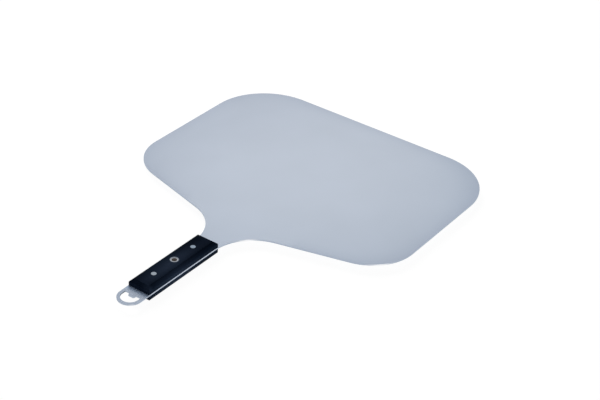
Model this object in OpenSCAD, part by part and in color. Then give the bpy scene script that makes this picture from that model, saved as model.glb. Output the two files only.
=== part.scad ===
// Pizza peel: one stamped steel sheet with a riveted two-scale grip and a bottle opener in its tail.
//
// +Y runs along the grip towards the blade's front edge, +Z is up and x = 0 is the symmetry plane.
// The origin lies under the middle of the whole length, level with the grip's lowest face.
// All sizes are millimetres and degrees.

/* [Blade] */
// Length of the whole peel, from the front edge to the tail
overall_length = 456; // [440:1:520]
// Width of the blade across its straight sides
blade_width = 356; // [300:1:380]
// Thickness of the steel sheet
sheet_thickness = 1.5; // [1:0.1:3]
// Distance from the front edge to where the side line meets the shoulder line
side_length = 239.5; // [200:0.5:250]
// Radius of the two front corners
front_radius = 72.5; // [20:0.5:100]
// Radius of the two rear corners
shoulder_radius = 57.5; // [20:0.5:90]
// Slope of the shoulders towards the grip
shoulder_slope = 15; // [5:1:20]
// Radius of the hollow fillets where the shoulders run into the tang
neck_radius = 54; // [20:1:60]
// Width of the tang under the grip
tang_width = 27.4; // [24:0.1:34]

/* [Grip scales] */
// Length of each scale
scale_length = 110; // [95:1:116]
// Thickness of each scale
scale_thickness = 8; // [6:0.1:12]
// Bare steel between the scales and the tail end
tail_length = 27; // [24:0.5:36]
// Width of the bevels along the sides and ends, seen from above
bevel_width = 3.9; // [1.5:0.1:5]
// Height of the upper scale's bevel
upper_bevel_height = 3.5; // [2:0.1:4.5]
// Height of the lower scale's bevel
lower_bevel_height = 2.9; // [2:0.1:4.5]
// Radius of the crisp crease between the outer face and the bevels
face_crease_radius = 0.6; // [0.3:0.1:1.5]
// Radius of the soft crease between the bevels and the upright sides
side_crease_radius = 2; // [0.5:0.5:4]

/* [Rivets] */
// Distance between the two rivets
rivet_pitch = 62.4; // [50:0.2:80]
// Distance from the scales' rear end to the rear rivet
rivet_inset = 22.8; // [12:0.2:30]
// Diameter of a rivet head
rivet_head_diameter = 5.8; // [5.6:0.1:8]
// Thickness of a rivet head
rivet_head_height = 1.6; // [1:0.1:2.4]
// Outer diameter of the hollow barrel's shank
rivet_barrel_diameter = 4.8; // [4.4:0.1:5.2]
// Diameter of the solid pin's shank
rivet_pin_diameter = 3.2; // [2.4:0.1:3.6]

/* [Emblem] */
// Diameter of the round inlay in the upper scale
emblem_diameter = 10; // [8:0.1:12]
// Thickness of the inlay
emblem_thickness = 1.2; // [0.8:0.1:2]
// Width of the inlay's raised rim
emblem_rim = 1.1; // [0.6:0.1:1.6]
// Depth of the inlay's field below its rim
emblem_recess = 0.3; // [0.1:0.05:0.5]

/* [Bottle opener] */
// Width of the opening
opener_width = 20.2; // [18:0.1:21]
// Distance from the centre of the tail's arc to the straight lip
opener_lip = 4.4; // [3:0.1:6]
// Width of the tooth where it leaves the lip
tooth_root_width = 8.8; // [7.5:0.1:10]
// Width of the tooth at its tip
tooth_tip_width = 6.6; // [5:0.1:7.4]
// Length of the tooth
tooth_length = 3.6; // [2:0.1:5]
// Radius of the two corners beside the lip
opener_corner_radius = 1.5; // [0.6:0.1:2]
// Radius of the tooth's tip corners and roots
tooth_radius = 0.5; // [0.2:0.1:0.8]

/* [Clearances] */
// Radial clearance round a rivet's shank in the scales and the tang
shank_clearance = 0.1; // [0.05:0.05:0.3]
// Radial clearance round the heads and the inlay in their seats
seat_clearance = 0.03; // [0.01:0.01:0.1]
// Radial clearance between a rivet's pin and its barrel
pin_clearance = 0.02; // [0.01:0.01:0.05]
// Gap between the end of a barrel and the pin's head
barrel_end_gap = 0.4; // [0.2:0.1:1]

/* [Hidden] */
$fn = 96;

// How far a cutter passes the surface that it opens
overshoot = 1;

// Places along the peel
front_y = overall_length / 2;
tail_y = -overall_length / 2;
tail_centre_y = tail_y + tang_width / 2;
side_end_y = front_y - side_length;
neck_y = side_end_y - (blade_width - tang_width) / 2 * tan(shoulder_slope);
scale_rear_y = tail_y + tail_length;
scale_middle_y = scale_rear_y + scale_length / 2;
rear_rivet_y = scale_rear_y + rivet_inset;
front_rivet_y = rear_rivet_y + rivet_pitch;

// Levels, from the grip's lowest face up
sheet_bottom = scale_thickness;
sheet_top = sheet_bottom + sheet_thickness;
grip_top = sheet_top + scale_thickness;

// Radii shared by the pieces and their seats
head_radius = rivet_head_diameter / 2;
barrel_radius = rivet_barrel_diameter / 2;
barrel_bore_radius = rivet_pin_diameter / 2 + pin_clearance;
shank_hole_radius = barrel_radius + shank_clearance;
emblem_radius = emblem_diameter / 2;
opener_radius = opener_width / 2;

// ---- Outlines with true arcs at their corners ----
// An outline is an anticlockwise list of corners [x, y, radius]. A radius of 0 leaves a sharp corner.

function point(corner) = [corner[0], corner[1]];
function neighbour(corners, i) = corners[(i + len(corners)) % len(corners)];
function unit(v) = v / norm(v);
function heading(corners, i, step) =
    unit(point(neighbour(corners, i + step)) - point(corners[i]));
function half_angle(corners, i) =
    acos(heading(corners, i, -1) * heading(corners, i, 1)) / 2;
function turn(a, b) = a[0] * b[1] - a[1] * b[0];
function is_hollow(corners, i) =
    turn(heading(corners, i, 1), heading(corners, i, -1)) < 0;

// Where the corner's arc meets the edge before it (step -1) or after it (step 1)
function arc_end(corners, i, step) =
    point(corners[i])
    + heading(corners, i, step) * corners[i][2] / tan(half_angle(corners, i));
function arc_centre(corners, i) =
    point(corners[i])
    + unit(heading(corners, i, -1) + heading(corners, i, 1))
        * corners[i][2] / sin(half_angle(corners, i));

module corner_discs(corners, hollow) {
    for (i = [0 : len(corners) - 1])
        if (corners[i][2] > 0 && is_hollow(corners, i) == hollow)
            translate(arc_centre(corners, i)) circle(r = corners[i][2]);
}

// The polygon joins the arcs' ends, outer corners gain a disc and hollow corners lose one
module rounded_outline(corners) {
    difference() {
        union() {
            polygon([
                for (i = [0 : len(corners) - 1])
                    each corners[i][2] > 0
                        ? [arc_end(corners, i, -1), arc_end(corners, i, 1)]
                        : [point(corners[i])]
            ]);
            corner_discs(corners, hollow = false);
        }
        corner_discs(corners, hollow = true);
    }
}

// The right half's corners, going up, followed by their mirror images going down
function symmetric(right) = concat(
    right,
    [for (i = [len(right) - 1 : -1 : 0]) [-right[i][0], right[i][1], right[i][2]]]
);

// ---- Blade, tang and bottle opener: one sheet ----

module sheet_outline() {
    rounded_outline(symmetric([
        [tang_width / 2, tail_centre_y, 0],
        [tang_width / 2, neck_y, neck_radius],
        [blade_width / 2, side_end_y, shoulder_radius],
        [blade_width / 2, front_y, front_radius]
    ]));
    translate([0, tail_centre_y]) circle(d = tang_width);
}

// Steel that bounds the opening on the grip's side: a straight lip with the tooth that hooks a cap
module lip_and_tooth() {
    rounded_outline(symmetric([
        [tooth_tip_width / 2, opener_lip - tooth_length, tooth_radius],
        [tooth_root_width / 2, opener_lip, tooth_radius],
        [opener_width, opener_lip, 0],
        [opener_width, opener_lip + overshoot, 0]
    ]));
}

// A half round that follows the tail's arc, with short straight sides up to the lip
module opener_outline() {
    difference() {
        union() {
            rounded_outline(symmetric([
                [opener_radius, 0, 0],
                [opener_radius, opener_lip, opener_corner_radius]
            ]));
            intersection() {
                circle(r = opener_radius);
                translate([-opener_radius, -opener_radius])
                    square([opener_width, opener_radius + opener_lip / 2]);
            }
        }
        lip_and_tooth();
    }
}

module blade() {
    color([0.72, 0.76, 0.81])
        translate([0, 0, sheet_bottom])
            linear_extrude(sheet_thickness)
                difference() {
                    sheet_outline();
                    translate([0, tail_centre_y]) opener_outline();
                    for (y = [rear_rivet_y, front_rivet_y])
                        translate([0, y]) circle(r = shank_hole_radius);
                }
}

// ---- Grip scales ----

// Section of a scale above its seat: the bevel at both outer edges blends into the upright sides
module bevelled_section(half_span, bevel_height) {
    intersection() {
        translate([-half_span - overshoot, 0])
            square([2 * (half_span + overshoot), scale_thickness + overshoot]);
        rounded_outline(symmetric([
            [half_span, -side_crease_radius, 0],
            [half_span, scale_thickness - bevel_height, side_crease_radius],
            [half_span - bevel_width, scale_thickness, face_crease_radius]
        ]));
    }
}

// A block bevelled along its sides and at its ends, with mitred corners, lying on z = 0
module scale_blank(bevel_height) {
    intersection() {
        rotate([90, 0, 0])
            linear_extrude(scale_length + 2 * overshoot, center = true)
                bevelled_section(tang_width / 2, bevel_height);
        rotate([90, 0, 90])
            linear_extrude(tang_width + 2 * overshoot, center = true)
                bevelled_section(scale_length / 2, bevel_height);
    }
}

// Through hole for a rivet's shank, with the counterbore for its head at the outer face
module rivet_seat() {
    translate([0, 0, -overshoot])
        cylinder(r = shank_hole_radius, h = scale_thickness + 2 * overshoot);
    translate([0, 0, scale_thickness - rivet_head_height])
        cylinder(r = head_radius + seat_clearance, h = rivet_head_height + overshoot);
}

// A scale drilled for both rivets, with its seat at z = 0 and the peel's own y places
module drilled_scale(bevel_height) {
    difference() {
        translate([0, scale_middle_y, 0]) scale_blank(bevel_height);
        for (y = [rear_rivet_y, front_rivet_y])
            translate([0, y, 0]) rivet_seat();
    }
}

module upper_scale() {
    color([0.07, 0.09, 0.13])
        translate([0, 0, sheet_top])
            difference() {
                drilled_scale(upper_bevel_height);
                translate([0, scale_middle_y, scale_thickness - emblem_thickness])
                    cylinder(r = emblem_radius + seat_clearance, h = emblem_thickness + overshoot);
            }
}

module lower_scale() {
    color([0.07, 0.09, 0.13])
        translate([0, 0, sheet_bottom])
            mirror([0, 0, 1])
                drilled_scale(lower_bevel_height);
}

// ---- Two-piece rivets ----

// Hollow half, pressed in from above: its head is flush with the upper scale
module rivet_barrel(y) {
    head_seat = grip_top - rivet_head_height;
    barrel_end = rivet_head_height + barrel_end_gap;
    color([0.66, 0.69, 0.73])
        translate([0, y, 0])
            rotate_extrude()
                polygon([
                    [barrel_bore_radius, barrel_end],
                    [barrel_radius, barrel_end],
                    [barrel_radius, head_seat],
                    [head_radius, head_seat],
                    [head_radius, grip_top],
                    [barrel_bore_radius, grip_top]
                ]);
}

// Solid half, pressed in from below: it ends flush in the middle of the barrel's head
module rivet_pin(y) {
    pin_radius = rivet_pin_diameter / 2;
    color([0.60, 0.63, 0.67])
        translate([0, y, 0])
            rotate_extrude()
                polygon([
                    [0, 0],
                    [head_radius, 0],
                    [head_radius, rivet_head_height],
                    [pin_radius, rivet_head_height],
                    [pin_radius, grip_top],
                    [0, grip_top]
                ]);
}

module front_rivet_barrel() {
    rivet_barrel(front_rivet_y);
}

module front_rivet_pin() {
    rivet_pin(front_rivet_y);
}

module rear_rivet_barrel() {
    rivet_barrel(rear_rivet_y);
}

module rear_rivet_pin() {
    rivet_pin(rear_rivet_y);
}

// ---- Inlay ----

// A round coin with a raised rim, flush in its blind seat in the upper scale
module emblem_disc() {
    field_radius = emblem_radius - emblem_rim;
    color([0.70, 0.72, 0.75])
        translate([0, scale_middle_y, grip_top - emblem_thickness])
            rotate_extrude()
                polygon([
                    [0, 0],
                    [emblem_radius, 0],
                    [emblem_radius, emblem_thickness],
                    [field_radius, emblem_thickness],
                    [field_radius, emblem_thickness - emblem_recess],
                    [0, emblem_thickness - emblem_recess]
                ]);
}

blade();
upper_scale();
lower_scale();
front_rivet_barrel();
front_rivet_pin();
rear_rivet_barrel();
rear_rivet_pin();
emblem_disc();
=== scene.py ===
import math

import bpy
from mathutils import Matrix, Vector


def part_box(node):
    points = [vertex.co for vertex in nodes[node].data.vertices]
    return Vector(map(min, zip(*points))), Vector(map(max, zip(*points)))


# The pizza peel's looks: its materials, a fine edge on the sheet, a plain studio and the photo's
# camera. The CAD nodes hold every shape. Lengths are written in millimetres of the row frame, and
# multiplied by MM where Blender takes metres. Only the studio's large ones are written in metres.

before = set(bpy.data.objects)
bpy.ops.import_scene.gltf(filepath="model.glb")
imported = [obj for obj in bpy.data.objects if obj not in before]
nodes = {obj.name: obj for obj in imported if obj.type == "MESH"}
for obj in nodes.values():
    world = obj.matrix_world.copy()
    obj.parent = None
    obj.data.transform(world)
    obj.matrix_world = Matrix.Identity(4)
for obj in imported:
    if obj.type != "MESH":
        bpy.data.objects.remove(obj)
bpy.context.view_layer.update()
scene = bpy.context.scene

MM = 0.001
EVERYWHERE = 1e6    # a radius so large that its axis has no effect


# ---- Places taken from the frame ----

def extent(node):
    """The lowest and the highest corner of a node's box."""
    low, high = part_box(node)
    return Vector(low) / MM, Vector(high) / MM


def middle(node):
    """The middle of a node's box."""
    low, high = extent(node)
    return (low + high) / 2


BLADE_HIGH = extent("blade")[1]
HALF_WIDTH = BLADE_HIGH.x
FRONT_END = BLADE_HIGH.y
SHEET_MIDDLE = middle("blade")
SCALE_LOW, SCALE_HIGH = extent("upper_scale")
GRIP_REAR = SCALE_LOW.y
GRIP_MIDDLE = middle("upper_scale").y
GRIP_HALF_LENGTH = (SCALE_HIGH.y - SCALE_LOW.y) / 2
RIVET_STATIONS = (middle("rear_rivet_pin").y, middle("front_rivet_pin").y)


# ---- Camera: azimuth 0 looks along +Y, and a positive roll turns the picture clockwise ----

CAMERA_AZIMUTH = 33.944
CAMERA_ELEVATION = 32.693
CAMERA_ROLL = 3.466
CAMERA_DISTANCE = 1620.5 * MM
CAMERA_TARGET = Vector((25.785, 39.748, 9.5)) * MM
SENSOR_WIDTH = 36.0
LENS = 87.59


def make_camera():
    """The photo's view, fitted to the sheet's outline."""
    azimuth = math.radians(CAMERA_AZIMUTH)
    elevation = math.radians(CAMERA_ELEVATION)
    roll = math.radians(CAMERA_ROLL)
    back = Vector((
        math.sin(azimuth) * math.cos(elevation),
        -math.cos(azimuth) * math.cos(elevation),
        math.sin(elevation),
    ))
    level_right = (-back).cross(Vector((0, 0, 1))).normalized()
    level_up = back.cross(level_right)
    right = level_right * math.cos(roll) + level_up * math.sin(roll)
    up = back.cross(right)
    data = bpy.data.cameras.new("camera")
    data.sensor_fit = "HORIZONTAL"
    data.sensor_width = SENSOR_WIDTH
    data.lens = LENS
    camera = bpy.data.objects.new("camera", data)
    axes = Matrix((right, up, back)).transposed().to_4x4()
    camera.matrix_world = Matrix.Translation(CAMERA_TARGET + back * CAMERA_DISTANCE) @ axes
    scene.collection.objects.link(camera)
    scene.camera = camera


# ---- Node helpers ----

NOISE_RANGE = (0.3, 0.7)        # where nearly all of a noise's values lie
UPRIGHT_RANGE = (0.7, 0.2)      # how squarely a surface faces up or down, from a bevel to a wall
SLOPING_RANGE = (0.98, 0.75)    # the same, from a flat face to a bevel


def shades(colour, spread):
    """A darker and a lighter shade of a colour."""
    return tuple(c * (1.0 - spread) for c in colour), tuple(c * (1.0 + spread) for c in colour)


class Graph:
    """The node tree of a material or a world, with short calls for the nodes used here."""

    def __init__(self, owner):
        owner.use_nodes = True
        self.owner = owner
        self.tree = owner.node_tree
        self.tree.nodes.clear()

    def feed(self, socket, value):
        """Links a socket to another node's output, or sets its value."""
        if isinstance(value, bpy.types.NodeSocket):
            self.tree.links.new(value, socket)
        else:
            socket.default_value = value

    def add(self, kind, settings=None, **inputs):
        node = self.tree.nodes.new(kind)
        for key, value in (settings or {}).items():
            setattr(node, key, value)
        for key, value in inputs.items():
            self.feed(node.inputs[key.replace("_", " ")], value)
        return node

    def math(self, operation, *values):
        node = self.add("ShaderNodeMath", {"operation": operation})
        for socket, value in zip(node.inputs, values):
            self.feed(socket, value)
        return node.outputs["Value"]

    # -- Where a point lies, in the object's own coordinates --

    def place(self):
        return self.add("ShaderNodeTexCoord").outputs["Object"]

    def travel(self, direction):
        """How far a point lies along a direction from the origin."""
        node = self.add("ShaderNodeVectorMath", {"operation": "DOT_PRODUCT"}, Vector=self.place())
        node.inputs[1].default_value = Vector(direction).normalized() / MM
        return node.outputs["Value"]

    def beside(self, y):
        """How far a point lies from a crosswise plane at y."""
        return self.math("ABSOLUTE", self.math("SUBTRACT", self.travel((0, 1, 0)), y))

    def distance(self, centre, radii):
        """How far a point lies from a centre, as a share of the radius along each axis."""
        shares = Vector([1.0 / radius for radius in radii])
        mapping = self.add("ShaderNodeMapping", Vector=self.place())
        mapping.inputs["Scale"].default_value = shares / MM
        mapping.inputs["Location"].default_value = -Vector(centre) * shares
        return self.add("ShaderNodeVectorMath", {"operation": "LENGTH"},
                        Vector=mapping.outputs["Vector"]).outputs["Value"]

    def noise(self, per_mm, detail=3.0, roughness=0.5):
        """A noise of so many waves per millimetre along each axis."""
        mapping = self.add("ShaderNodeMapping", Vector=self.place())
        mapping.inputs["Scale"].default_value = Vector(per_mm) / MM
        node = self.add("ShaderNodeTexNoise", Vector=mapping.outputs["Vector"],
                        Scale=1.0, Detail=detail, Roughness=roughness)
        return node.outputs["Fac"]

    # -- Which way the surface faces --

    def facing(self, direction):
        """How squarely the surface faces a direction, from -1 to 1."""
        normal = self.add("ShaderNodeTexCoord").outputs["Normal"]
        node = self.add("ShaderNodeVectorMath", {"operation": "DOT_PRODUCT"}, Vector=normal)
        node.inputs[1].default_value = Vector(direction).normalized()
        return node.outputs["Value"]

    def facing_either(self, direction):
        """How squarely the surface faces a direction or its opposite, from 0 to 1."""
        return self.math("ABSOLUTE", self.facing(direction))

    def upright(self):
        """1 on faces that stand upright, 0 on flat faces and on most of a bevel."""
        return self.ramp(self.facing_either((0, 0, 1)), UPRIGHT_RANGE)

    def sloping(self):
        """1 on bevels and upright faces, 0 on flat faces."""
        return self.ramp(self.facing_either((0, 0, 1)), SLOPING_RANGE)

    # -- Shares and colours --

    def remap(self, value, ends, results, easing="LINEAR"):
        """The first result where a value is at its first end, the second at its second end."""
        settings = {"clamp": True, "interpolation_type": easing}
        node = self.add("ShaderNodeMapRange", settings, Value=value)
        node.inputs["From Min"].default_value = ends[0]
        node.inputs["From Max"].default_value = ends[1]
        node.inputs["To Min"].default_value = results[0]
        node.inputs["To Max"].default_value = results[1]
        return node.outputs["Result"]

    def ramp(self, value, ends):
        """0 where a value is at its first end, 1 where it is at its second."""
        return self.remap(value, ends, (0.0, 1.0))

    def opposite(self, share):
        return self.math("SUBTRACT", 1.0, share)

    def mix(self, share, a, b, blend="MIX"):
        """Colour a where the share is 0, colour b where it is 1."""
        node = self.add("ShaderNodeMix", {"data_type": "RGBA", "blend_type": blend})
        self.feed(node.inputs[0], share)
        for socket, colour in ((node.inputs[6], a), (node.inputs[7], b)):
            self.feed(socket, (*colour, 1.0) if isinstance(colour, tuple) else colour)
        return node.outputs[2]

    def tint(self, tone, colour, share):
        """A tone, multiplied by a colour where the share is 1."""
        return self.mix(share, tone, colour, "MULTIPLY")

    def shaded(self, colour, spread, noise):
        """A colour that a noise makes a little darker and lighter."""
        return self.mix(self.ramp(noise, NOISE_RANGE), *shades(colour, spread))

    # -- Shaders --

    def bump(self, height, depth):
        node = self.add("ShaderNodeBump", Height=height, Strength=1.0, Distance=depth * MM)
        return node.outputs["Normal"]

    def blend(self, share, first, second):
        """The first shader where the share is 0, the second where it is 1."""
        node = self.add("ShaderNodeMixShader", Fac=share)
        self.tree.links.new(first, node.inputs[1])
        self.tree.links.new(second, node.inputs[2])
        return node.outputs[0]

    def finish(self, **inputs):
        """Gives a material its Principled shader, and returns the material."""
        shader = self.add("ShaderNodeBsdfPrincipled", **inputs)
        self.add("ShaderNodeOutputMaterial", Surface=shader.outputs["BSDF"])
        return self.owner


# ---- Sheet steel ----

DECK_TONE = (0.401, 0.474, 0.579)
DECK_SPREAD = 0.02
DECK_METAL = 0.80
CLOUDS_PER_MM = (0.012, 0.012, 0.012)
BRUSHING_PER_MM = (3.0, 0.06, 3.0)
BRUSHING_DEPTH = 0.0008
DECK_ROUGHNESS = (0.29, 0.33)

# Painted light: the deck's tone is fullest in a painted pool of light, and painted shade falls slowly
# towards the rim and the tail
LIGHT_POOL_CENTRE = (33.0, 66.0, 0.0)
LIGHT_POOL_RADII = (185.0, 212.0, EVERYWHERE)
LIGHT_POOL_POWER = 3.0
RIM_SHADE_TINT = (0.888, 0.896, 0.911)
TAIL_SHADE_DIRECTION = (0.69, -0.725, 0.0)
TAIL_SHADE_FALLOFF = (0.0, 120.0)
TAIL_SHADE_TINT = (0.92, 0.93, 0.94)

# The tang's lighter end, and the foot: the tang's strip beside the grip's rear end, rougher, with a
# bluer tint that is a painted reflection of the grip
TANG_SPAN = (95.0, 200.0)
TANG_TINT = (1.08, 1.06, 1.04)
FOOT_REACH = (6.5, 2.0)
FOOT_REFLECTION_TINT = (0.93, 1.01, 1.11)
FOOT_ROUGHNESS = 0.16

# Painted shade: a darker border along the blade's outline. The shoulders slope from the side lines'
# ends to the neck. The blends are Smooth Maximum's distances, which round the corners about as the
# sheet's are.
SIDE_END = -11.5
SHOULDER_SLOPE = math.radians(15.0)
FRONT_BLEND = 132.0
SHOULDER_BLEND = 75.0
NECK_SPAN = (30.0, 75.0)
NECK_LIFT = 60.0
BORDER_WIDTH = 24.0
BORDER_POWER = 2.0
BORDER_SHADE_TINT = (0.90, 0.91, 0.93)

# The cut faces. Those that face the right rear carry a painted highlight, though weaker at the tail.
CUT_TONE = (0.42, 0.485, 0.585)
CUT_ROUGHNESS = 0.08
TANG_TONE = (0.52, 0.585, 0.685)
TANG_TONE_FADE = 1.0
HIGHLIGHT_DIRECTION = (0.725, -0.69, 0.0)
HIGHLIGHT_TONE = (0.96, 0.98, 1.0)
HIGHLIGHT_POWER = 60.0
HIGHLIGHT_SPAN = (-200.0, -90.0)
HIGHLIGHT_AT_TAIL = 0.45
# The opener's left walls carry painted shade
OPENER_CENTRE = (-9.0, -214.5, 0.0)
OPENER_RADII = (5.0, 9.0, EVERYWHERE)
OPENER_EDGE = (1.1, 0.9)
OPENER_FACING = (0.3, 0.9)
OPENER_SHADE_TONE = (0.14, 0.175, 0.225)


def border(g):
    """0 well inside the blade, rising to 1 at its outline. The neck counts as inside."""
    across = g.math("ABSOLUTE", g.travel((1, 0, 0)))
    along = g.travel((0, 1, 0))
    side = g.math("SUBTRACT", across, HALF_WIDTH)
    front = g.math("SUBTRACT", along, FRONT_END)
    outward_x = math.sin(SHOULDER_SLOPE)
    outward_y = -math.cos(SHOULDER_SLOPE)
    shoulder_end = HALF_WIDTH * outward_x + SIDE_END * outward_y
    shoulder = g.math("MULTIPLY_ADD", along, outward_y, -shoulder_end)
    shoulder = g.math("MULTIPLY_ADD", across, outward_x, shoulder)
    shoulder = g.math("SUBTRACT", shoulder, g.remap(across, NECK_SPAN, (NECK_LIFT, 0.0)))
    outline = g.math("SMOOTH_MAX", side, front, FRONT_BLEND)
    outline = g.math("SMOOTH_MAX", outline, shoulder, SHOULDER_BLEND)
    return g.math("POWER", g.ramp(outline, (-BORDER_WIDTH, 0.0)), BORDER_POWER)


def cut_tone(g):
    """The cut faces' tone: light beside the grip, a painted highlight at the right rear, painted shade
    in the opener.
    """
    beside_grip = (GRIP_HALF_LENGTH + TANG_TONE_FADE, GRIP_HALF_LENGTH)
    tone = g.mix(g.ramp(g.beside(GRIP_MIDDLE), beside_grip), CUT_TONE, TANG_TONE)
    # A painted highlight on the cut faces that face the right rear
    painted_highlight = g.math("POWER", g.math("MAXIMUM", g.facing(HIGHLIGHT_DIRECTION), 0.0), HIGHLIGHT_POWER)
    weaker = g.remap(g.travel((0, 1, 0)), HIGHLIGHT_SPAN, (HIGHLIGHT_AT_TAIL, 1.0))
    tone = g.mix(g.math("MULTIPLY", painted_highlight, weaker), tone, HIGHLIGHT_TONE)
    # Painted shade on the opener's left walls
    in_opener = g.ramp(g.distance(OPENER_CENTRE, OPENER_RADII), OPENER_EDGE)
    shaded_left_wall = g.math("MULTIPLY", in_opener, g.ramp(g.facing((1, 0, 0)), OPENER_FACING))
    return g.mix(shaded_left_wall, tone, OPENER_SHADE_TONE)


def sheet_steel():
    """Satin stainless sheet, brushed along Y, with a slowly changing tone, a painted pool of light
    with painted shade towards the rim, tail and outline, and cut faces with a painted highlight and
    painted shade.
    """
    g = Graph(bpy.data.materials.new("satin_sheet"))
    brushing = g.noise(BRUSHING_PER_MM, detail=4.0, roughness=0.6)
    tone = g.shaded(DECK_TONE, DECK_SPREAD, g.noise(CLOUDS_PER_MM, detail=2.0))
    # Painted light and shade: a pool of light, darker towards the rim and the tail
    from_light_pool = g.math("MINIMUM", g.distance(LIGHT_POOL_CENTRE, LIGHT_POOL_RADII), 1.0)
    tone = g.tint(tone, RIM_SHADE_TINT, g.math("POWER", from_light_pool, LIGHT_POOL_POWER))
    tone = g.tint(tone, TAIL_SHADE_TINT, g.ramp(g.travel(TAIL_SHADE_DIRECTION), TAIL_SHADE_FALLOFF))
    tone = g.tint(tone, TANG_TINT, g.ramp(g.travel((0, -1, 0)), TANG_SPAN))
    foot = g.ramp(g.beside(GRIP_REAR), FOOT_REACH)
    # Painted reflection: the foot is tinted bluer, as a reflection of the grip
    tone = g.tint(tone, FOOT_REFLECTION_TINT, foot)
    # Painted shade along the blade's outline
    tone = g.tint(tone, BORDER_SHADE_TINT, border(g))
    cut = g.upright()
    tone = g.mix(cut, tone, cut_tone(g))
    rough = g.remap(brushing, NOISE_RANGE, DECK_ROUGHNESS)
    rough = g.math("ADD", rough, g.math("MULTIPLY", cut, CUT_ROUGHNESS))
    rough = g.math("ADD", rough, g.math("MULTIPLY", foot, FOOT_ROUGHNESS))
    return g.finish(
        Base_Color=tone, Metallic=DECK_METAL, Roughness=rough,
        Normal=g.bump(brushing, BRUSHING_DEPTH),
    )


# ---- Rivets ----

RIVET_TONE = (0.285, 0.335, 0.39)
RIVET_SPREAD = 0.05
RIVET_ROUGHNESS = (0.38, 0.46)
GRIND_PER_MM = (0.3, 4.0, 0.3)
GRIND_DEPTH = 0.003
# Darker towards the front
FRONTWARD_SPAN = (-175.0, -118.0)
FRONTWARD_TINT = (0.80, 0.88, 0.96)
HEAD_EDGE = (2.3, 2.9)
HEAD_EDGE_TINT = (0.60, 0.62, 0.66)


def rivet_steel():
    """Heads ground flush with the grip: a crosswise grind, darker towards the front, darker at the
    edge.
    """
    g = Graph(bpy.data.materials.new("ground_rivet"))
    grind = g.noise(GRIND_PER_MM, roughness=0.6)
    tone = g.shaded(RIVET_TONE, RIVET_SPREAD, grind)
    tone = g.tint(tone, FRONTWARD_TINT, g.ramp(g.travel((0, 1, 0)), FRONTWARD_SPAN))
    heads = [g.distance((0.0, y, 0.0), (1.0, 1.0, EVERYWHERE)) for y in RIVET_STATIONS]
    tone = g.tint(tone, HEAD_EDGE_TINT, g.ramp(g.math("MINIMUM", *heads), HEAD_EDGE))
    return g.finish(
        Base_Color=tone, Metallic=1.0, Roughness=g.remap(grind, NOISE_RANGE, RIVET_ROUGHNESS),
        Normal=g.bump(grind, GRIND_DEPTH),
    )


# ---- Inlay ----

COIN_STEEL = (0.345, 0.38, 0.425)
COIN_STEEL_SPREAD = 0.06
ENAMEL = (0.034, 0.025, 0.021)
ENAMEL_SPREAD = 0.15
COIN_GRAIN_PER_MM = (1.5, 1.5, 1.5)
FIELD_EDGE = (3.1, 2.8)
COIN_EDGE = (3.9, 4.5)
COIN_EDGE_TINT = (0.18, 0.22, 0.28)
COIN_ROUGHNESS = (0.34, 0.42)
COIN_SPECULAR = 0.1


def enamelled_coin():
    """A satin coin with a round field of brown enamel in its middle and a dark edge."""
    g = Graph(bpy.data.materials.new("enamelled_coin"))
    radius = g.distance(middle("emblem_disc"), (1.0, 1.0, EVERYWHERE))
    field = g.ramp(radius, FIELD_EDGE)
    grain = g.noise(COIN_GRAIN_PER_MM, detail=2.0)
    steel = g.shaded(COIN_STEEL, COIN_STEEL_SPREAD, grain)
    steel = g.tint(steel, COIN_EDGE_TINT, g.ramp(radius, COIN_EDGE))
    enamel = g.shaded(ENAMEL, ENAMEL_SPREAD, grain)
    return g.finish(
        Base_Color=g.mix(field, steel, enamel), Metallic=g.opposite(field),
        Roughness=g.remap(field, (0.0, 1.0), COIN_ROUGHNESS), Specular_IOR_Level=COIN_SPECULAR,
    )


# ---- Grip ----

GRIP_DARK = (0.0050, 0.0095, 0.0200)
GRIP_LIGHT = (0.0190, 0.0295, 0.0530)
GRIP_ROUGHNESS = (0.46, 0.40)
GRIP_SPECULAR = 0.005
GRAIN_PER_MM = (6.0, 6.0, 6.0)
GRAIN_DEPTH = 0.01
MOTTLE_PER_MM = (0.09, 0.05, 0.09)
MOTTLE_RANGE = (0.35, 0.65)
MOTTLE_TINT = (0.86, 0.87, 0.88)

# A painted sheen: lighter in the middle, and at the right rear corner
SHEEN_CENTRE = (0.0, -158.0, 0.0)
SHEEN_RADII = (20.0, 32.0, EVERYWHERE)
SHEEN_REACH = (0.0, 1.7)
CORNER_CENTRE = (10.5, -199.2, 16.0)
CORNER_RADII = (8.0, 5.0, 3.5)
CORNER_REACH = (0.2, 1.3)
CORNER_SHEEN = 0.85

# Painted shade: darker on the flat faces towards their long creases
CREASE_SHADE_MIDDLE = (2.5, 0.0, 0.0)
CREASE_SHADE_REACH = (2.0, 9.5)
CREASE_SHADE_TINT = (0.42, 0.50, 0.54)

# Painted shade and light by which way a face turns. The end bevels have one tint. The long ones change
# from their foot to their top, by the height above or below the sheet's middle. The upright walls are
# lighter.
END_BEVEL_SHADE_TINT = (0.70, 0.72, 0.76)
BEVEL_RISE = (5.9, 8.4)
BEVEL_FOOT_LIGHT_TINT = (1.05, 1.08, 1.12)
BEVEL_TOP_SHADE_TINT = (0.49, 0.50, 0.53)
LONG_BEVEL_FACING = (0.2, 0.5)
WALL_LIGHT_TINT = (2.2, 2.15, 2.0)


def bevel_light_and_shade(g, upright):
    """The painted light and shade of the grip's bevels and walls."""
    rise = g.distance(SHEET_MIDDLE, (EVERYWHERE, EVERYWHERE, 1.0))
    long_bevel_shading = g.mix(g.ramp(rise, BEVEL_RISE), BEVEL_FOOT_LIGHT_TINT, BEVEL_TOP_SHADE_TINT)
    lateral = g.ramp(g.facing_either((1, 0, 0)), LONG_BEVEL_FACING)
    long_bevel = g.math("MULTIPLY", lateral, g.opposite(upright))
    return g.mix(long_bevel, END_BEVEL_SHADE_TINT, long_bevel_shading)


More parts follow.
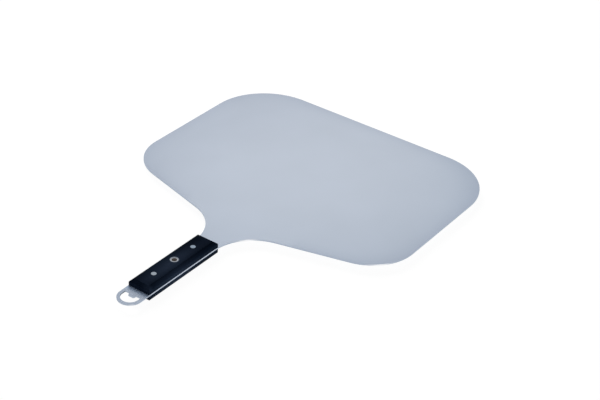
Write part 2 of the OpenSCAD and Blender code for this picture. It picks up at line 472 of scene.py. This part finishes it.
def grip_composite():
    """Black fibre composite: fine moulded grain, faint mottling, and painted light and shade: a sheen
    in the middle, darker creases and bevels, lighter walls.
    """
    g = Graph(bpy.data.materials.new("grip_composite"))
    mottle = g.noise(MOTTLE_PER_MM)
    # A painted sheen in the middle and at the right rear corner
    from_sheen = g.distance(SHEEN_CENTRE, SHEEN_RADII)
    painted_sheen = g.remap(from_sheen, SHEEN_REACH, (1.0, 0.0), "SMOOTHSTEP")
    tone = g.mix(painted_sheen, GRIP_DARK, GRIP_LIGHT)
    tone = g.tint(tone, MOTTLE_TINT, g.remap(mottle, MOTTLE_RANGE, (1.0, 0.0)))
    from_corner = g.distance(CORNER_CENTRE, CORNER_RADII)
    corner = g.remap(from_corner, CORNER_REACH, (CORNER_SHEEN, 0.0), "SMOOTHSTEP")
    tone = g.mix(corner, tone, GRIP_LIGHT)
    sloping = g.sloping()
    # Painted shade towards the long creases
    across = g.distance(CREASE_SHADE_MIDDLE, (1.0, EVERYWHERE, EVERYWHERE))
    crease_shade = g.math("MULTIPLY", g.ramp(across, CREASE_SHADE_REACH), g.opposite(sloping))
    tone = g.tint(tone, CREASE_SHADE_TINT, crease_shade)
    # Painted light and shade on the bevels and walls
    upright = g.upright()
    tone = g.tint(tone, bevel_light_and_shade(g, upright), sloping)
    tone = g.tint(tone, WALL_LIGHT_TINT, upright)
    return g.finish(
        Base_Color=tone, Roughness=g.remap(mottle, MOTTLE_RANGE, GRIP_ROUGHNESS),
        Specular_IOR_Level=GRIP_SPECULAR,
        Normal=g.bump(g.noise(GRAIN_PER_MM, detail=2.0), GRAIN_DEPTH),
    )


# ---- Dressing the nodes ----

RIVETS = ("front_rivet_barrel", "front_rivet_pin", "rear_rivet_barrel", "rear_rivet_pin")
SCALES = ("upper_scale", "lower_scale")
EDGE_WIDTH = 0.2
EDGE_SEGMENTS = 2
EDGE_ANGLE = math.radians(25.0)


def assign(obj, material):
    obj.data.materials.clear()
    obj.data.materials.append(material)


def soften(obj):
    """Rounds the node's sharp edges with a modifier, which leaves its mesh as it is."""
    bevel = obj.modifiers.new("edge", "BEVEL")
    bevel.width = EDGE_WIDTH * MM
    bevel.segments = EDGE_SEGMENTS
    bevel.limit_method = "ANGLE"
    bevel.angle_limit = EDGE_ANGLE
    bevel.harden_normals = True


def dress():
    assign(nodes["blade"], sheet_steel())
    soften(nodes["blade"])
    rivet = rivet_steel()
    for name in RIVETS:
        assign(nodes[name], rivet)
    assign(nodes["emblem_disc"], enamelled_coin())
    grip = grip_composite()
    for name in SCALES:
        assign(nodes[name], grip)


# ---- Studio ----

WHITE = (1.0, 1.0, 1.0)
WARM = (1.0, 0.73, 0.52)
WORLD_LIGHT = 0.05
WORLD_SHOWN = 1.0
PAPER = (0.9, 0.9, 0.9)
PAPER_GLOW = 1.06
PAPER_GLOW_SHARE = 0.9
FLOOR_SIZE = 12.0
FLOOR_HEIGHT = -0.2 * MM
LAMP_TARGET = Vector((0.0, 80.0, 10.0)) * MM
LAMP_DISTANCE = 1.7


def shown_rays(g):
    """1 for the rays that show the background, 0 for those that light the object."""
    path = g.add("ShaderNodeLightPath").outputs
    mirrored = g.math("MAXIMUM", path["Is Glossy Ray"], path["Is Transmission Ray"])
    return g.math("MAXIMUM", path["Is Camera Ray"], mirrored)


def make_world():
    world = bpy.data.worlds.new("studio")
    scene.world = world
    g = Graph(world)
    light, shown = (
        g.add("ShaderNodeBackground", Color=(*WHITE, 1.0), Strength=strength).outputs[0]
        for strength in (WORLD_LIGHT, WORLD_SHOWN)
    )
    g.add("ShaderNodeOutputWorld", Surface=g.blend(shown_rays(g), light, shown))


def make_floor():
    """White paper. Where it shows as background it is mostly plain white, with a faint shadow."""
    bpy.ops.mesh.primitive_plane_add(size=FLOOR_SIZE, location=(0, 0, FLOOR_HEIGHT))
    floor = bpy.context.object
    floor.name = "floor"
    g = Graph(bpy.data.materials.new("floor"))
    paper = g.add("ShaderNodeBsdfDiffuse", Color=(*PAPER, 1.0)).outputs[0]
    glow = g.add("ShaderNodeEmission", Color=(*WHITE, 1.0), Strength=PAPER_GLOW).outputs[0]
    share = g.math("MULTIPLY", shown_rays(g), PAPER_GLOW_SHARE)
    g.add("ShaderNodeOutputMaterial", Surface=g.blend(share, paper, glow))
    assign(floor, g.owner)


def toward(azimuth, elevation):
    """A place round the lamps' target. Azimuth runs anticlockwise from +Y in plan, in degrees."""
    turn = math.radians(azimuth)
    rise = math.radians(elevation)
    heading = Vector((
        -math.sin(turn) * math.cos(rise),
        math.cos(turn) * math.cos(rise),
        math.sin(rise),
    ))
    return LAMP_TARGET + heading * LAMP_DISTANCE


def softbox(name, azimuth, elevation, size, power, colour=WHITE, glossy=True):
    """A square lamp that no camera sees. Metal mirrors it only where glossy is true."""
    data = bpy.data.lights.new(name, "AREA")
    data.shape = "SQUARE"
    data.size = size
    data.energy = power
    data.color = colour
    lamp = bpy.data.objects.new(name, data)
    lamp.location = toward(azimuth, elevation)
    lamp.rotation_euler = (LAMP_TARGET - lamp.location).to_track_quat("-Z", "Y").to_euler()
    lamp.visible_glossy = glossy
    lamp.visible_camera = False
    scene.collection.objects.link(lamp)


def make_studio():
    make_world()
    make_floor()
    softbox("glow", azimuth=36, elevation=31, size=0.9, power=1.0, colour=WARM)
    softbox("key", azimuth=65, elevation=42, size=1.4, power=29.0, glossy=False)
    softbox("fill", azimuth=-117, elevation=18, size=0.6, power=10.0, glossy=False)


make_camera()
make_studio()
dress()

scene.view_settings.view_transform = "Standard"
